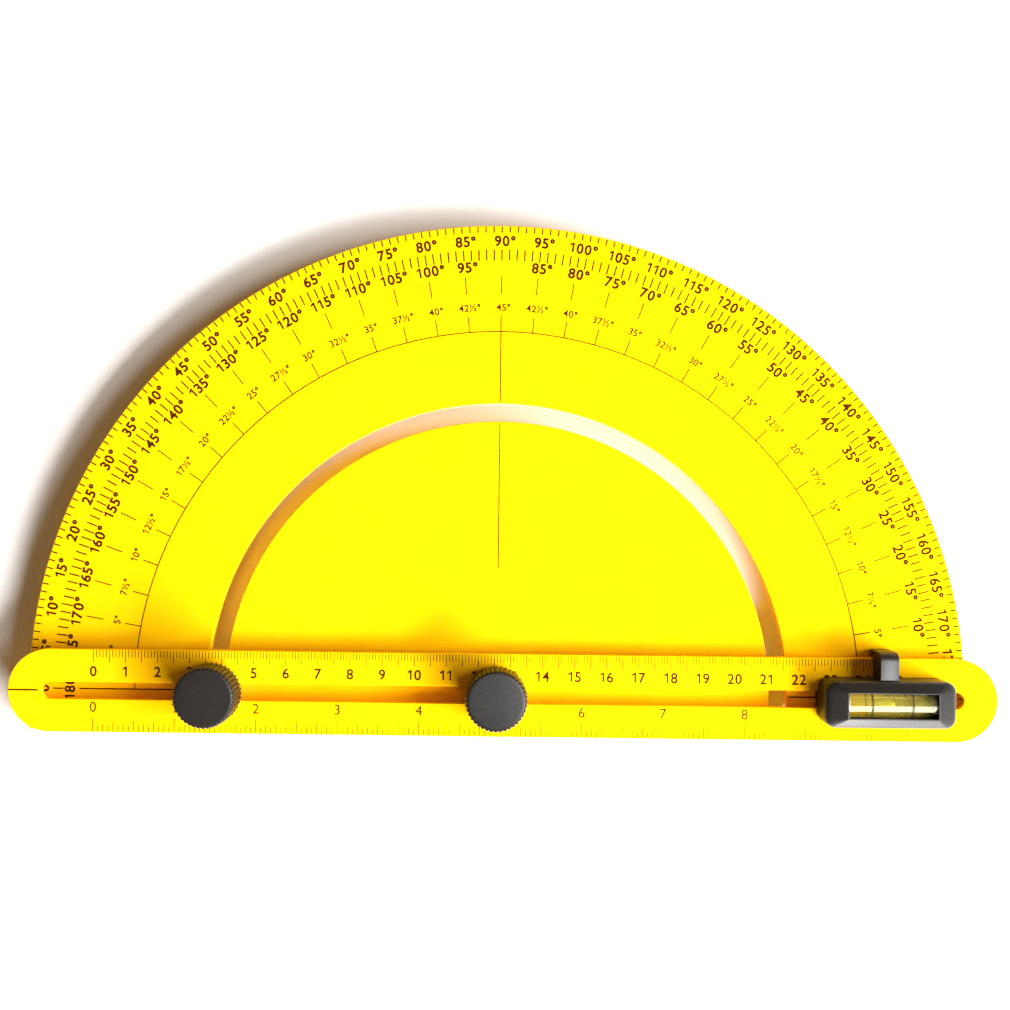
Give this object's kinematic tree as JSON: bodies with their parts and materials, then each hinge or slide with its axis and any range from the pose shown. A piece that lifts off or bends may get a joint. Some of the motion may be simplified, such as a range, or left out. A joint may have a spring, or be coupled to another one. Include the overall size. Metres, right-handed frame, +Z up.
{
  "type": "protractor angle finder",
  "caption": "Half-round protractor plate with a slotted rule arm that swings and slides, clamp knobs and a clip-on sliding spirit level.",
  "frame": {"origin": "on the pivot axis, in the plane the plate stands on", "axes": "+X along the rule at rest towards its level end, +Y towards the crown of the arc, +Z up along the pivot bolt"},
  "size_m": [0.309, 0.1605, 0.0199],
  "materials": {
    "yellow_plastic": "satin moulded",
    "black_plastic": "matte moulded",
    "brass": "turned",
    "zinc_steel": "zinc plated",
    "nylon": "natural nylon",
    "clear_acrylic": "polished",
    "vial_fluid": "clear dyed liquid",
    "ring_ink": "printed",
    "plug_plastic": "moulded"
  },
  "bodies": {
    "plate": {"protractor_plate": "yellow_plastic", "pivot_bolt": "zinc_steel"},
    "swing": {"arc_bolt": "zinc_steel", "arc_slip_washer": "nylon"},
    "rule": {"rule_arm": "yellow_plastic"},
    "level": {"level_housing": "black_plastic", "level_foot_left": "black_plastic", "level_foot_right": "black_plastic", "level_screws": "zinc_steel", "vial_tube": "clear_acrylic", "vial_liquid": "vial_fluid", "vial_rings": "ring_ink", "vial_plug_left": "plug_plastic", "vial_plug_right": "plug_plastic"},
    "pivot_clamp": {"pivot_washer": "nylon"},
    "pivot_grip": {"pivot_knob": "black_plastic", "pivot_knob_insert": "brass"},
    "arc_clamp": {"arc_washer": "nylon"},
    "arc_grip": {"arc_knob": "black_plastic", "arc_knob_insert": "brass"}
  },
  "joints": [
    {"name": "arm_swing", "type": "hinge", "parent": "plate", "child": "swing", "pos_m": [0, 0, 0.0034], "axis": [0, 0, 1], "range_deg": [-180, 0]},
    {"name": "rule_slide", "type": "slide", "parent": "swing", "child": "rule", "axis": [1, 0, 0], "range_m": [-0.05, 0.05]},
    {"name": "level_slide", "type": "slide", "parent": "rule", "child": "level", "axis": [1, 0, 0], "range_m": [-0.039, 0.004]},
    {"name": "pivot_knob_lift", "type": "slide", "parent": "plate", "child": "pivot_clamp", "axis": [0, 0, 1], "range_m": [0, 0.0012]},
    {"name": "pivot_knob_turn", "type": "hinge", "parent": "pivot_clamp", "child": "pivot_grip", "pos_m": [0, 0, 0.01], "axis": [0, 0, 1], "range_deg": [0, 540]},
    {"name": "arc_knob_lift", "type": "slide", "parent": "swing", "child": "arc_clamp", "axis": [0, 0, 1], "range_m": [0, 0.0012]},
    {"name": "arc_knob_turn", "type": "hinge", "parent": "arc_clamp", "child": "arc_grip", "pos_m": [-0.0885, 0, 0.01], "axis": [0, 0, 1], "range_deg": [0, 540]}
  ],
  "couplings": [
    {"joint": "pivot_knob_lift", "follows": "pivot_knob_turn", "m_per_rad": 0.00012732},
    {"joint": "arc_knob_lift", "follows": "arc_knob_turn", "m_per_rad": 0.00012732}
  ]
}
